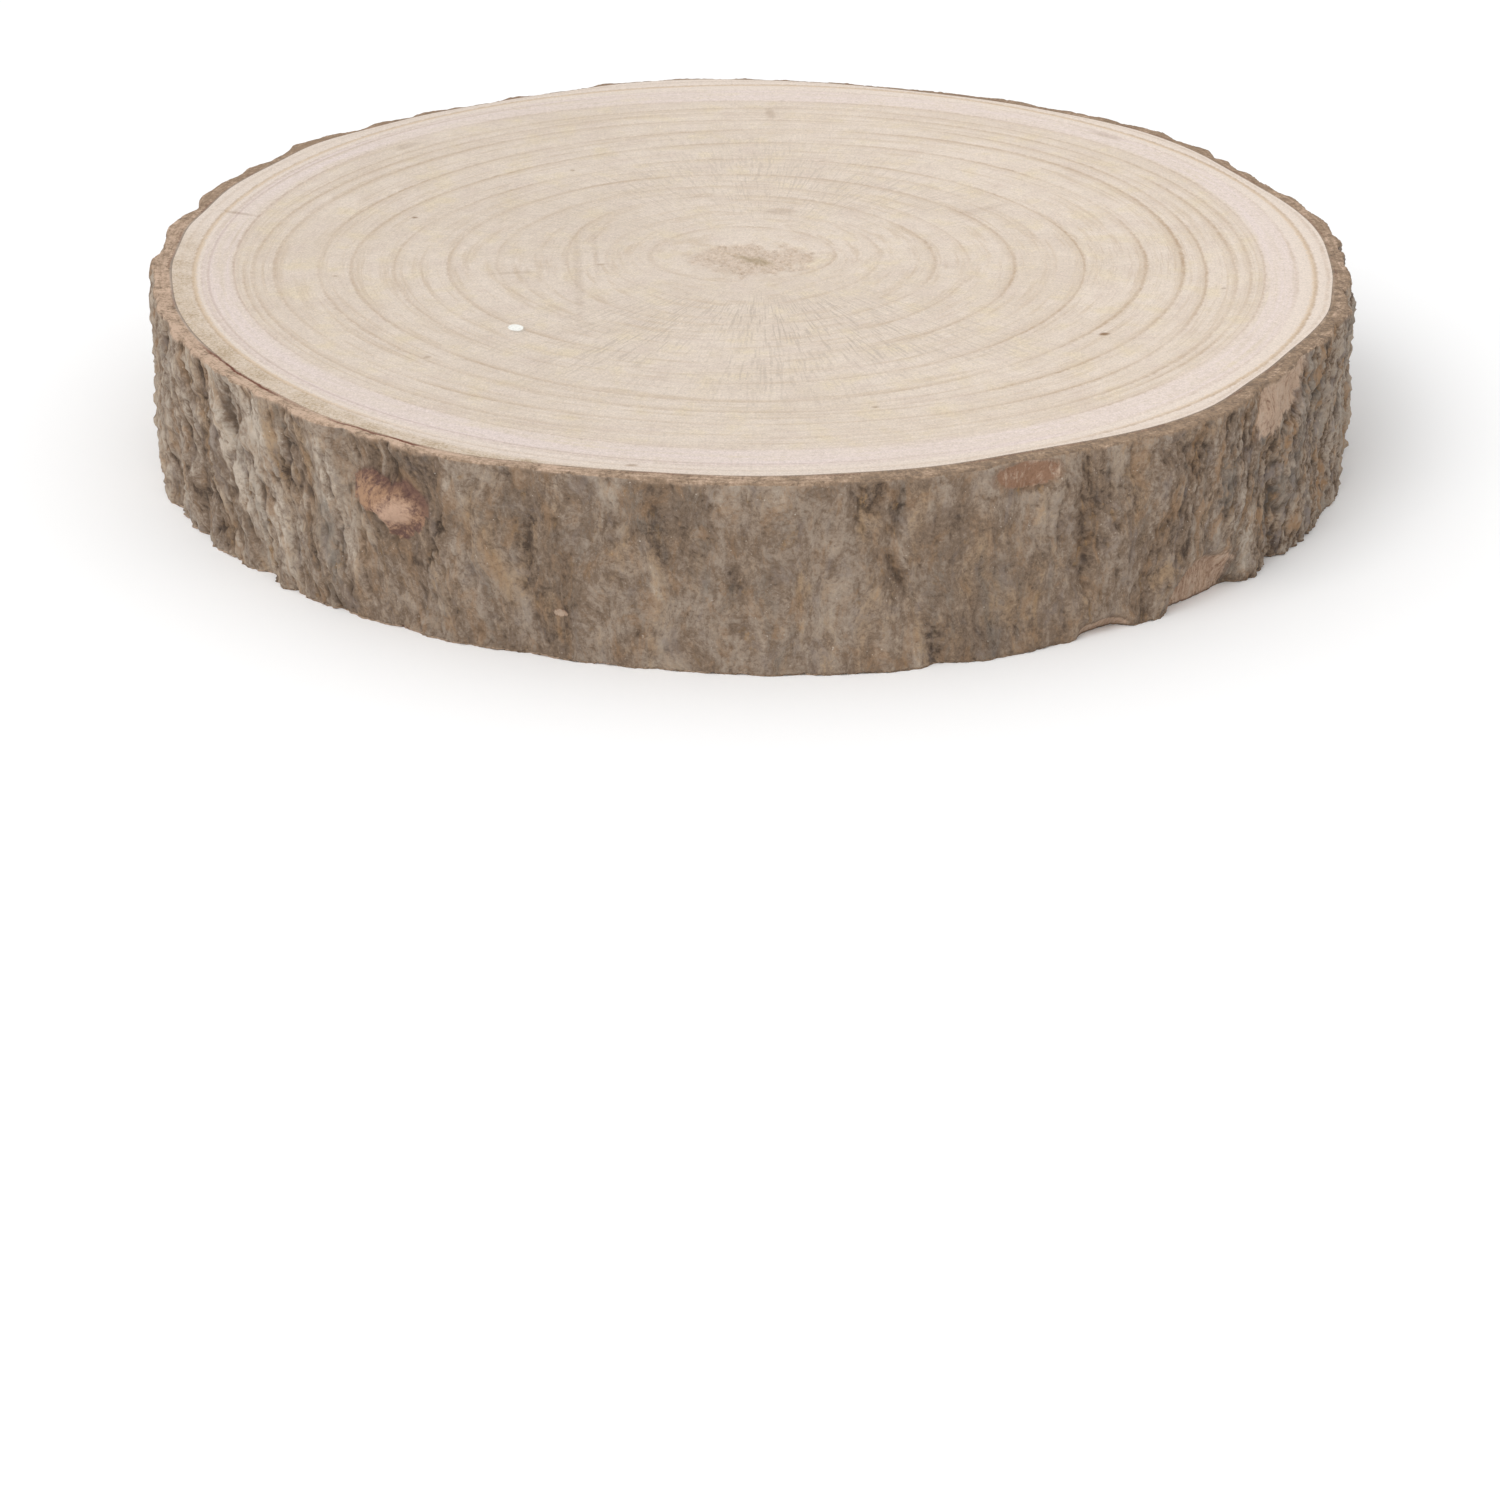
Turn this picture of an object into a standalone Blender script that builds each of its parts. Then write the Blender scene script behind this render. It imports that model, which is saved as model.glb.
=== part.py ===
"""Wood slice: a round cross-cut of a stem that still has its bark, lying flat on its lower cut.

The slice is one grown piece, so it is one solid. It starts as a turned disc, and its points are
then pushed out or in by formula to the stem's uneven girth, its pith and its furrowed bark.

Lengths are in metres and angles in degrees, counted anticlockwise seen from above, from +X.
+Z is up. The origin is under the middle of the slice, on the surface that it lies on.
"""

import math
from collections import namedtuple

import bmesh
import bpy
from mathutils import Vector, noise

MM = 0.001

# The slice as a whole. The girth is the distance from the pith to the outside of the bark,
# along the upper cut, taken every 15 degrees all the way round.
THICKNESS = 42.4 * MM
GIRTH = [134.2, 133.8, 132.9, 134.5, 133.2, 131.8, 135.0, 136.5, 134.9, 137.5, 138.6, 139.0,
         138.3, 137.8, 136.6, 136.7, 136.3, 133.6, 134.2, 133.8, 134.2, 136.2, 135.4, 134.0]
GIRTH_STEP = 360 / len(GIRTH)

# How finely the turned disc is divided: round the girth, and up the bark.
STEPS_ROUND = 252
ROWS_UP = 11

# The pith is a shallow crusty hollow in the middle of the upper cut.
PITH_RADIUS = 13 * MM
PITH_DEPTH = 0.7 * MM
PITH_RINGS = 3

# Both cuts are flat out to this share of the girth, where the bark's own cut edge starts.
BARK_STARTS = 0.94

# The stem narrows or swells a little towards the lower cut.
Swelling = namedtuple("Swelling", "angle half_width push")
FOOT_SWELLINGS = [
    Swelling(-162, 13, 1.0 * MM),
    Swelling(-122, 15, -2.0 * MM),
    Swelling(-74, 15, 1.8 * MM),
    Swelling(-34, 8, -1.2 * MM),
    Swelling(-8, 14, 0.3 * MM),
]

# Upright ridges run all over the bark. They are low where the bark is young and smooth, which
# is along the front, and where it has worn thin, which is at the back.
RIDGE_HEIGHT = 2.2 * MM
RIDGE_WIDTH = 9 * MM
RIDGE_LENGTH = 30 * MM
SMOOTH_SIDES = [Swelling(-90, 34, 0.6), Swelling(73, 16, 0.6)]

# Deep furrows between the bark's plates, each from an angle and height to another.
Furrow = namedtuple("Furrow", "top_angle top foot_angle foot half_width depth")
FURROWS = [
    Furrow(-163, 30, -160, 2, 1.6, 1.6),
    Furrow(-156, 43, -153, 8, 1.5, 1.5),
    Furrow(-148, 41, -141.5, 0, 1.6, 2.6),
    Furrow(-139, 43, -138, 27, 1.5, 2.0),
    Furrow(-139, 25, -135.5, 6, 1.4, 1.6),
    Furrow(-125.5, 43, -125, 35, 1.4, 1.8),
    Furrow(-121.5, 32, -124, 0, 1.3, 1.3),
    Furrow(-111, 31, -110, 6, 1.4, 0.9),
    Furrow(-98, 42, -96.5, 22, 1.4, 0.8),
    Furrow(-82.5, 43, -80, 25, 1.5, 1.3),
    Furrow(-79, 26, -74, 0, 1.5, 1.5),
    Furrow(-60.5, 43, -60, 12, 1.6, 1.5),
    Furrow(-41.5, 16, -41, 0, 1.4, 1.7),
    Furrow(-27, 43, -36, 27, 1.6, 2.2),
    Furrow(-36, 27, -34.5, 0, 1.6, 1.8),
    Furrow(-19, 42, -23, 6, 1.6, 1.8),
    Furrow(-9, 43, -13, 2, 1.6, 1.8),
    Furrow(3, 42, 0, 0, 1.6, 1.7),
    Furrow(14, 40, 16, 3, 1.6, 2.0),
    Furrow(29, 43, 27, 0, 1.7, 2.2),
    Furrow(43, 36, 40, 0, 1.6, 1.7),
    Furrow(57, 43, 54, 10, 1.6, 1.5),
    Furrow(89, 43, 92, 12, 1.6, 1.3),
    Furrow(106, 30, 103, 0, 1.6, 1.6),
    Furrow(120, 43, 124, 4, 1.6, 1.9),
    Furrow(137, 43, 134, 14, 1.6, 2.2),
    Furrow(149, 38, 152, 0, 1.6, 1.9),
    Furrow(165, 43, 161, 5, 1.6, 1.8),
    Furrow(178, 40, 182, 0, 1.6, 1.9),
]

# Places at a cut edge where a flake of bark has come away and the inner bark shows.
Flake = namedtuple("Flake", "angle height half_width half_height depth")
FLAKES = [
    Flake(-66, 44, 4.6, 6, 1.6),
    Flake(-33.5, 45, 6.0, 12, 2.0),
    Flake(-57.5, -1, 3.0, 5, 3.6),
    Flake(-45.5, -1, 5.2, 12, 3.4),
    Flake(34, -1, 5.0, 9, 2.8),
    Flake(112, 44, 5.0, 8, 2.0),
    Flake(171, -1, 4.5, 7, 2.6),
]

# The stub of a small branch, healed over: a boss with a groove along its upper edge.
BRANCH_ANGLE = -126
BRANCH_HEIGHT = 28 * MM
BRANCH_HALF_WIDTH = 3.4
BRANCH_HALF_HEIGHT = 7.5 * MM
BRANCH_BOSS = 2.2 * MM
BRANCH_GROOVE = 1.8 * MM

WOOD_COLOUR = (0.72, 0.62, 0.51, 1)
BARK_COLOUR = (0.22, 0.18, 0.14, 1)


def turn_between(angle, other):
    """The angle from one direction to another, from -180 to 180 degrees."""
    return (angle - other + 180) % 360 - 180


def hump(distance, half_width):
    """A smooth rise that is 1 in the middle and fades out over about two half widths."""
    return math.exp(-((distance / half_width) ** 2))


def eased(share):
    """Goes from 0 to 1 as share does, level at both ends."""
    share = min(1, max(0, share))
    return share * share * (3 - 2 * share)


def girth_at(angle):
    """The radius of the upper cut at an angle: a smooth curve through the girth's values."""
    place, along = divmod(angle % 360 / GIRTH_STEP, 1)
    before, start, end, after = (GIRTH[(int(place) + n) % len(GIRTH)] for n in (-1, 0, 1, 2))
    bend = 2 * before - 5 * start + 4 * end - after
    twist = 3 * (start - end) + after - before
    radius = start + along * (end - before + along * (bend + along * twist)) / 2
    return radius * MM


def foot_swelling(angle, height):
    """How far the wall stands out or in from the upper cut's girth, lower down."""
    push = sum(s.push * hump(turn_between(angle, s.angle), s.half_width) for s in FOOT_SWELLINGS)
    return push * (1 - height / THICKNESS)


def ridges(angle, height):
    """The bark's uneven upright ridges, as a height above or below the mean surface."""
    stem = sum(GIRTH) / len(GIRTH) * MM
    turn = math.radians(angle)
    across = stem / RIDGE_WIDTH
    place = Vector((math.cos(turn) * across, math.sin(turn) * across, height / RIDGE_LENGTH))
    smooth = sum(s.push * hump(turn_between(angle, s.angle), s.half_width) for s in SMOOTH_SIDES)
    return RIDGE_HEIGHT * (1 - smooth) * noise.fractal(place, 0.8, 2.1, 3)


def furrow_depth(furrow, angle, height):
    """How deep a furrow is at a point of the bark, with ends that run out gently."""
    height_mm = height / MM
    along = (furrow.top - height_mm) / (furrow.top - furrow.foot)
    middle = furrow.top_angle + turn_between(furrow.foot_angle, furrow.top_angle) * along
    past_end = max(0, furrow.foot - height_mm, height_mm - furrow.top)
    across = turn_between(angle, middle)
    return furrow.depth * MM * hump(across, furrow.half_width) * hump(past_end, 3)


def flake_depth(flake, angle, height):
    """How far the wall steps back where a flake of bark is missing."""
    across = turn_between(angle, flake.angle) / flake.half_width
    up = (height / MM - flake.height) / flake.half_height
    return flake.depth * MM * eased((1 - across**2 - up**2) * 1.8)


def branch_stub(angle, height):
    """The healed branch stub: it narrows towards its lower end."""
    up = (height - BRANCH_HEIGHT) / BRANCH_HALF_HEIGHT
    across = turn_between(angle, BRANCH_ANGLE) / (BRANCH_HALF_WIDTH * (1 + 0.35 * up))
    away = math.hypot(across, up)
    boss = BRANCH_BOSS * hump(away, 0.75)
    groove = BRANCH_GROOVE * hump(away - 1.1, 0.3) * eased(up + 0.6)
    return boss - groove


def bark_radius(angle, height):
    """The distance from the pith to the bark's surface at an angle and a height."""
    radius = girth_at(angle) + foot_swelling(angle, height) + ridges(angle, height)
    radius -= max(furrow_depth(f, angle, height) for f in FURROWS)
    radius -= max(flake_depth(f, angle, height) for f in FLAKES)
    return radius + branch_stub(angle, height)


def disc_profile():
    """Half the disc's outline as (share of the girth, height), from the pith over the bark."""
    pith_share = PITH_RADIUS / (min(GIRTH) * MM)
    points = [(pith_share * n / PITH_RINGS, THICKNESS) for n in range(PITH_RINGS + 1)]
    points.append((BARK_STARTS, THICKNESS))
    points += [(1, THICKNESS * (1 - n / ROWS_UP)) for n in range(ROWS_UP + 1)]
    return points + [(BARK_STARTS, 0), (0, 0)]


def turned_disc(name):
    """The plain disc, with a radius of one, turned from its profile."""
    profile = bpy.data.meshes.new(name + "_profile")
    points = [(share, 0, height) for share, height in disc_profile()]
    profile.from_pydata(points, [(n, n + 1) for n in range(len(points) - 1)], [])
    turned = bpy.data.objects.new(name + "_turned", profile)
    bpy.context.scene.collection.objects.link(turned)
    screw = turned.modifiers.new("Turn", "SCREW")
    screw.axis = "Z"
    screw.angle = math.radians(360)
    screw.steps = STEPS_ROUND
    screw.render_steps = STEPS_ROUND
    screw.use_merge_vertices = True
    screw.merge_threshold = 0.00005
    evaluated = turned.evaluated_get(bpy.context.evaluated_depsgraph_get())
    mesh = bpy.data.meshes.new_from_object(evaluated)
    mesh.name = name
    bpy.data.objects.remove(turned)
    bpy.data.meshes.remove(profile)
    return mesh


def grown_point(point):
    """Where a point of the plain disc lies on the grown stem."""
    share = math.hypot(point.x, point.y)
    turn = math.atan2(point.y, point.x)
    angle = math.degrees(turn)
    if share > (1 + BARK_STARTS) / 2:
        radius = bark_radius(angle, point.z)
    else:
        radius = share * girth_at(angle)
    hollow = 0
    if point.z > THICKNESS / 2:
        hollow = PITH_DEPTH * eased(1 - radius / PITH_RADIUS)
    return Vector((radius * math.cos(turn), radius * math.sin(turn), point.z - hollow))


def centre_in_plan(mesh):
    """Moves the mesh so that the origin is under the middle of its plan."""
    for axis in (0, 1):
        places = [vertex.co[axis] for vertex in mesh.vertices]
        middle = (min(places) + max(places)) / 2
        for vertex in mesh.vertices:
            vertex.co[axis] -= middle


def material(name, colour, roughness):
    """A plain surface of one colour."""
    made = bpy.data.materials.new(name)
    made.use_nodes = True
    shader = made.node_tree.nodes["Principled BSDF"]
    shader.inputs["Base Color"].default_value = colour
    shader.inputs["Roughness"].default_value = roughness
    shader.inputs["Metallic"].default_value = 0
    return made


def paint_wood_and_bark(mesh):
    """The two cuts are bare wood, and the upright faces between them are bark."""
    mesh.materials.append(material("wood", WOOD_COLOUR, 0.65))
    mesh.materials.append(material("bark", BARK_COLOUR, 0.9))
    for face in mesh.polygons:
        face.material_index = 0 if abs(face.normal.z) > 0.8 else 1


def wood_slice(collection):
    """The whole slice, as one closed solid."""
    mesh = turned_disc("wood_slice")
    for vertex in mesh.vertices:
        vertex.co = grown_point(vertex.co)
    centre_in_plan(mesh)
    shaped = bmesh.new()
    shaped.from_mesh(mesh)
    bmesh.ops.triangulate(shaped, faces=shaped.faces)
    shaped.to_mesh(mesh)
    shaped.free()
    paint_wood_and_bark(mesh)
    mesh.shade_smooth()
    mesh.set_sharp_from_angle(angle=math.radians(50))
    collection.objects.link(bpy.data.objects.new("wood_slice", mesh))


for old in list(bpy.data.objects):
    bpy.data.objects.remove(old)
slice_collection = bpy.data.collections.new("wood_slice")
bpy.context.scene.collection.children.link(slice_collection)
wood_slice(slice_collection)
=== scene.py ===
import math
from collections import namedtuple

import bpy
import numpy as np
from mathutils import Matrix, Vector, noise
from mathutils.bvhtree import BVHTree


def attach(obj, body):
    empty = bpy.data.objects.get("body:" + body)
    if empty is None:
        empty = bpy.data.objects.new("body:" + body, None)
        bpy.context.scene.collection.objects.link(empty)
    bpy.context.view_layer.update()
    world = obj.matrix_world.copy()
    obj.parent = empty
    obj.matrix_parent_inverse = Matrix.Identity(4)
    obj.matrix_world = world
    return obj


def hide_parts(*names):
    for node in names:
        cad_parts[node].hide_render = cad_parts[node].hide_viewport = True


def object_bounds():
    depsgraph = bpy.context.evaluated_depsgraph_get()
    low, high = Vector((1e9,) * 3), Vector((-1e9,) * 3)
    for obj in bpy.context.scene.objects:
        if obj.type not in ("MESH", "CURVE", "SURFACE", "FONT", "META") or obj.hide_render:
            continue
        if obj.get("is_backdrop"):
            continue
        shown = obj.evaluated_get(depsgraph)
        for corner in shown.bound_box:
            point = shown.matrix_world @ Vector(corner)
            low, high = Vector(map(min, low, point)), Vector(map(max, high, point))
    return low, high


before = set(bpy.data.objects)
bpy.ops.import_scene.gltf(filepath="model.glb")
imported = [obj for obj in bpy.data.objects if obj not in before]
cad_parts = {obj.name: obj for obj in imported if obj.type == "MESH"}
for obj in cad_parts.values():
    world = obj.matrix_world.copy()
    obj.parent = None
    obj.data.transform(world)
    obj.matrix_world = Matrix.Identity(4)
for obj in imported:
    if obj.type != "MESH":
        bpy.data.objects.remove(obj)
cad_low, cad_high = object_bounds()


# The stem
# One round of a stem, sawn across twice, so wood and bark share one form: that of the packed
# solid. The pith is the lowest point of its upper cut, and the bark's surface is felt for from
# the pith outwards, all the way round and from one cut to the other.
MM = 0.001
THICKNESS = cad_high.z
COLUMNS = 1440
WALL_ROWS = 57
JUST_INSIDE = 0.3 * MM
PAST_PITH = 40 * MM
PITH_SEARCH = 30 * MM

# How many rounds of averaging take the facets off the wall, and the bark's steps off the wood.
WALL_ROUNDS = 3
WOOD_EDGE_ROUNDS = 300

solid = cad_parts["wood_slice"].data
corners = np.array([vertex.co for vertex in solid.vertices])
off_centre = np.hypot(corners[:, 0], corners[:, 1])
near_middle = (corners[:, 2] > THICKNESS / 2) & (off_centre < PITH_SEARCH)
pith = corners[near_middle][corners[near_middle][:, 2].argmin()]

turns = np.arange(COLUMNS) * 2 * math.pi / COLUMNS
degrees = (np.degrees(turns) + 180) % 360 - 180
wall_heights = np.linspace(THICKNESS, 0, WALL_ROWS)


def felt_wall():
    """The bark's distance from the pith, row by row down the solid and all the way round."""
    tree = BVHTree.FromPolygons(
        [vertex.co for vertex in solid.vertices], [face.vertices for face in solid.polygons])
    found = np.empty((WALL_ROWS, COLUMNS))
    for row, height in enumerate(np.clip(wall_heights, JUST_INSIDE, THICKNESS - JUST_INSIDE)):
        middle = Vector((pith[0], pith[1], height))
        for column, turn in enumerate(turns):
            outwards = Vector((math.cos(turn), math.sin(turn), 0))
            start = middle + outwards * PAST_PITH
            found[row, column] = PAST_PITH + tree.ray_cast(start, outwards)[3]
    return found


def softened(values, rounds, up=True):
    """Values on the wall, averaged with their neighbours a number of times over."""
    for _ in range(rounds):
        values = (np.roll(values, 1, -1) + 2 * values + np.roll(values, -1, -1)) / 4
        if up:
            padded = np.concatenate([values[:1], values, values[-1:]])
            values = (padded[:-2] + 2 * values + padded[2:]) / 4
    return values


def round_the_stem(readings, angles):
    """A smooth closed curve through readings taken at even angles, anticlockwise from +X."""
    readings = np.asarray(readings, float)
    place = angles % (2 * math.pi) / (2 * math.pi) * len(readings)
    start = np.floor(place).astype(int)
    along = place - start
    a, b, c, d = (readings[(start + n) % len(readings)] for n in (-1, 0, 1, 2))
    curve = 2 * a - 5 * b + 4 * c - d + along * (3 * (b - c) + d - a)
    return b + along * (c - a + along * curve) / 2


def eased(share):
    """Goes from 0 to 1 as share does, level at both ends."""
    share = np.clip(share, 0, 1)
    return share * share * (3 - 2 * share)


def grown_noise(places, octaves, seed):
    """A noise value for each place, an array whose last axis is x, y, z."""
    flat = (places.reshape(-1, 3) + seed * 17.3).tolist()
    values = [noise.fractal(place, 0.9, 2.1, octaves) for place in flat]
    return np.array(values).reshape(places.shape[:-1])


# How thick the bark is at the upper cut, in mm every 30 degrees.
BARK_THICKNESS = [3.9, 3.0, 2.7, 1.0, 1.2, 3.3, 4.4, 3.9, 2.7, 4.6, 4.2, 4.4]

wall = softened(felt_wall(), WALL_ROUNDS)
wood_edge = softened(wall[0], WOOD_EDGE_ROUNDS, up=False)
wood_edge = wood_edge - round_the_stem(BARK_THICKNESS, turns) * MM


# The wood
# Sawn and sanded end grain: a crusty pith, pale heartwood ruled off by the darker line that
# ends each year's growth, a pink band, and outside it the sapwood. It shows on both cuts, and
# its side is under the bark.
WOOD_COLUMNS = 720
CORE_ROW_GAP = 0.65
WOOD_ROW_GAP = 1.8
UNDERSIDE_ROW_GAP = 6.0
CRUST_MIDDLE = (-1.8, -1.2)
CRUST_HALF_SIZES = (15.0, 11.0)
CRUST_DEPTH = 0.6 * MM
CRUST_REACH = 1.6
SHARP_EDGE_DEGREES = 60

# The line that ends each year's growth, as its distance from the pith in mm every 45 degrees,
# and how plainly it shows.
Year = namedtuple("Year", "radii mark")
YEARS = [
    Year((17, 18.7, 21, 24, 25, 19.5, 15, 14.5), 0.55),
    Year((27.2, 29, 31, 34, 35, 32, 30, 27), 0.35),
    Year((40, 39.5, 43.2, 47, 44, 45.5, 42.5, 41.3), 0.65),
    Year((47.5, 46, 50, 55.5, 60, 57, 52.5, 49.5), 0.45),
    Year((58, 56.5, 58.5, 65, 71, 69, 63, 60), 0.7),
    Year((66, 64, 64.6, 69.5, 77, 75.5, 71, 67), 0.25),
    Year((73.7, 70.7, 70.5, 74.5, 83, 81.3, 78.3, 75), 0.9),
    Year((88, 86.5, 83, 85, 93, 90, 89.2, 86.3), 1.0),
    Year((96.5, 97.8, 92.8, 95, 100.5, 96.5, 95, 96), 0.9),
    Year((101.2, 102.5, 100.8, 105.5, 110.5, 106, 101.8, 104.5), 0.75),
    Year((108, 108, 106.5, 110, 115.3, 112.3, 109.5, 111), 0.7),
    Year((111.5, 112, 110.4, 113.7, 117.3, 114.3, 112.5, 113), 0.6),
    Year((114.6, 117.3, 115.8, 121.2, 119.8, 116.3, 115.5, 116.3), 0.9),
    Year((121.8, 124.4, 125, 128, 126.8, 125.3, 124.8, 124.3), 0.45),
    Year((126.2, 127.6, 129.5, 131, 129, 127.8, 127.2, 128), 0.7),
    Year((129.4, 130.6, 132.6, 134.2, 132, 131, 130.4, 131.4), 0.35),
]
PINK_STARTS, PINK_ENDS, SAPWOOD_STARTS = 13, 14, 15
LAST_YEAR = 0.8 * MM

# How plainly all the lines show, every 45 degrees: faintest towards the front.
PLAINNESS = [1.2, 0.95, 0.75, 0.85, 0.85, 0.6, 0.4, 0.95]

wood_turns = turns[::COLUMNS // WOOD_COLUMNS]
wood_rim = wood_edge[::COLUMNS // WOOD_COLUMNS]
year_lines = np.array([round_the_stem(year.radii, wood_turns) * MM for year in YEARS])
year_lines = np.minimum(year_lines, wood_rim - LAST_YEAR)
year_lines = np.concatenate([wood_rim[None] * 0, year_lines, wood_rim[None]])
year_gaps = np.diff(year_lines, axis=0)


def rows_of_growth(gap_mm, core_gap_mm):
    """Rows over a cut in years of growth from the pith, with each year's line on a row."""
    ages = []
    for year, gap in enumerate(year_gaps.mean(1) / MM):
        count = math.ceil(gap / (gap_mm if year else core_gap_mm))
        ages += [year + step / count for step in range(count)]
    return np.array(ages[1:] + [len(year_gaps)])


def loft(name, rings, first=None, last=None):
    """A closed skin over rings of points, closed by a point at each end, or end to end."""
    rows, columns = rings.shape[:2]
    points = rings.reshape(-1, 3)
    lengths = rows if first is None else rows - 1
    row, column = np.meshgrid(np.arange(lengths), np.arange(columns), indexing="ij")
    beside = (column + 1) % columns
    below = (row + 1) % rows
    quads = np.stack([row * columns + column, below * columns + column,
                      below * columns + beside, row * columns + beside], -1).reshape(-1, 4)
    faces = quads.tolist()
    if first is not None:
        points = np.concatenate([points, [first, last]])
        top, bottom = rows * columns, rows * columns + 1
        lowest = (rows - 1) * columns
        faces += [[top, c, (c + 1) % columns] for c in range(columns)]
        faces += [[bottom, lowest + (c + 1) % columns, lowest + c] for c in range(columns)]
    mesh = bpy.data.meshes.new(name)
    mesh.from_pydata(points.tolist(), [], faces)
    piece = bpy.data.objects.new(name, mesh)
    bpy.context.scene.collection.objects.link(piece)
    return piece


def note_at_points(piece, **fields):
    """Keeps a number at each point of a piece, for its finish to read by name."""
    for name, values in fields.items():
        spare = len(piece.data.vertices) - values.size
        kept = np.concatenate([values.ravel(), np.full(spare, values.ravel()[0])])
        attribute = piece.data.attributes.new(name, "FLOAT", "POINT")
        attribute.data.foreach_set("value", kept.astype(np.float32))


upper_rows = rows_of_growth(WOOD_ROW_GAP, CORE_ROW_GAP)
under_rows = rows_of_growth(UNDERSIDE_ROW_GAP, UNDERSIDE_ROW_GAP)[::-1]
ages = np.concatenate([upper_rows, under_rows])
on_upper_cut = np.arange(len(ages)) < len(upper_rows)
year = np.minimum(ages.astype(int), len(year_gaps) - 1)
into_year = (ages - year)[:, None]
wood_radii = year_lines[year] + into_year * year_gaps[year]
wood_angles = np.broadcast_to(wood_turns, wood_radii.shape)
wood_x = wood_radii * np.cos(wood_angles)
wood_y = wood_radii * np.sin(wood_angles)

crust_away = np.hypot((wood_x / MM - CRUST_MIDDLE[0]) / CRUST_HALF_SIZES[0],
                      (wood_y / MM - CRUST_MIDDLE[1]) / CRUST_HALF_SIZES[1])
near_pith = np.where(on_upper_cut[:, None] & (crust_away < CRUST_REACH))
crust_places = np.stack([wood_x[near_pith], wood_y[near_pith], wood_x[near_pith] * 0], -1) / MM
crust_edge = grown_noise(crust_places / 5, 3, 1)
crust = np.zeros(wood_radii.shape)
crust[near_pith] = eased((1.05 - crust_away[near_pith] + 0.4 * crust_edge) / 0.35)
crust_pits = np.zeros(wood_radii.shape)
crust_pits[near_pith] = np.clip(0.45 + 0.8 * grown_noise(crust_places / 1.6, 4, 2), 0, 1)
wood_z = np.where(on_upper_cut[:, None], THICKNESS, 0) - crust * crust_pits * CRUST_DEPTH

wood_points = np.stack([pith[0] + wood_x, pith[1] + wood_y, wood_z], -1)
wood = loft("wood", wood_points,
            first=(pith[0], pith[1], THICKNESS - CRUST_DEPTH / 2), last=(pith[0], pith[1], 0))

nearest_line = np.round(ages).astype(int)
marks = np.array([0, *(year.mark for year in YEARS), 0])[nearest_line][:, None]
marks = marks * round_the_stem(PLAINNESS, wood_turns)
line_places = np.stack(np.broadcast_arrays(
    np.cos(wood_turns) * 2.6, np.sin(wood_turns) * 2.6, nearest_line[:, None] * 1.7), -1)
fading = {n: grown_noise(line_places[i], 2, 3) for i, n in enumerate(nearest_line)}
fading = np.array([fading[n] for n in nearest_line])
note_at_points(
    wood, age=np.broadcast_to(ages[:, None], wood_radii.shape), year_mm=year_gaps[year] / MM,
    mark=marks * np.clip(0.85 + 0.9 * fading, 0.3, 1.3),
    past_pink=(wood_radii - year_lines[PINK_STARTS]) / MM,
    past_band=(wood_radii - year_lines[PINK_ENDS]) / MM,
    past_sapwood=(wood_radii - year_lines[SAPWOOD_STARTS]) / MM,
    crust=crust, underside=np.broadcast_to(1.0 - on_upper_cut[:, None], wood_radii.shape))

# The map for the finish: the upper cut as a large disc, the underside as a small one.
UPPER_DISC = (0.402, 0.402, 0.398)
UNDER_DISC = (0.810, 0.810, 0.186)
flat_map = np.empty((len(wood.data.vertices), 2))
on_upper = np.append(np.repeat(on_upper_cut, WOOD_COLUMNS), [True, False])
plan = np.array([vertex.co for vertex in wood.data.vertices])[:, :2] - pith[:2]
for disc, members in ((UPPER_DISC, on_upper), (UNDER_DISC, ~on_upper)):
    flat_map[members] = np.array(disc[:2]) + plan[members] / wood_edge.max() * disc[2]
wood_map = wood.data.uv_layers.new(name="OFBake")
corner_points = np.empty(len(wood.data.loops), int)
wood.data.loops.foreach_get("vertex_index", corner_points)
wood_map.data.foreach_set("uv", flat_map[corner_points].astype(np.float32).ravel())
wood.data.shade_smooth()
wood.data.set_sharp_from_angle(angle=math.radians(SHARP_EDGE_DEGREES))


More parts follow.
